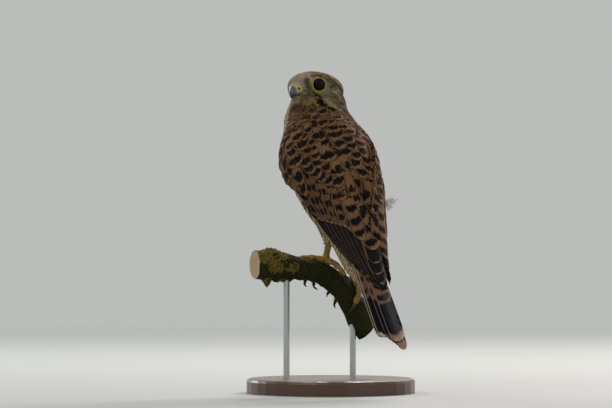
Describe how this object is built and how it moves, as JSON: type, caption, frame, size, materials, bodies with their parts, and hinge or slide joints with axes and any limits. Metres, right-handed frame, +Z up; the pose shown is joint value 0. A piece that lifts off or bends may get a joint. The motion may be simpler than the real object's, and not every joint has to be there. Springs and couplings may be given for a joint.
{
  "type": "common kestrel",
  "caption": "Still, life-size young common kestrel gripping a short branch, head turned back over its left shoulder, on a round stand with two rods.",
  "frame": {"origin": "centre of the underside of the stand's round base", "axes": "+Z up; the bird's back faces -Y, its head looks to -X and -Y, its tail hangs towards +X and -Y"},
  "size_m": [0.16, 0.1754, 0.3063],
  "materials": {
    "rufous_feathers": "soft feathers, rufous brown barred with black, buff at the edges",
    "pale_feathers": "soft feathers, buff with dark streaks",
    "yellow_skin": "bare scaly skin, ochre yellow",
    "horn": "polished horn, slate grey to black",
    "eye": "very dark brown, wet gloss",
    "bark": "rough dark bark with yellow lichen",
    "steel": "satin steel rod",
    "stained_wood": "dark stained turned wood, satin varnish"
  },
  "bodies": {
    "root": {"head": "rufous_feathers", "neck": "rufous_feathers", "trunk": "rufous_feathers", "tail": "rufous_feathers", "wing_left": "rufous_feathers", "wing_right": "rufous_feathers", "thigh_left": "pale_feathers", "thigh_right": "pale_feathers", "tarsus_left": "yellow_skin", "tarsus_right": "yellow_skin", "foot_left": "yellow_skin", "foot_right": "yellow_skin", "claw_left_outer": "horn", "claw_left_middle": "horn", "claw_left_inner": "horn", "claw_left_hind": "horn", "claw_right_outer": "horn", "claw_right_middle": "horn", "claw_right_inner": "horn", "claw_right_hind": "horn", "cere": "yellow_skin", "bill_upper": "horn", "bill_lower": "horn", "eye_left": "eye", "eye_right": "eye", "perch": "bark", "stand_rod_1": "steel", "stand_rod_2": "steel", "stand_base": "stained_wood"}
  },
  "joints": []
}
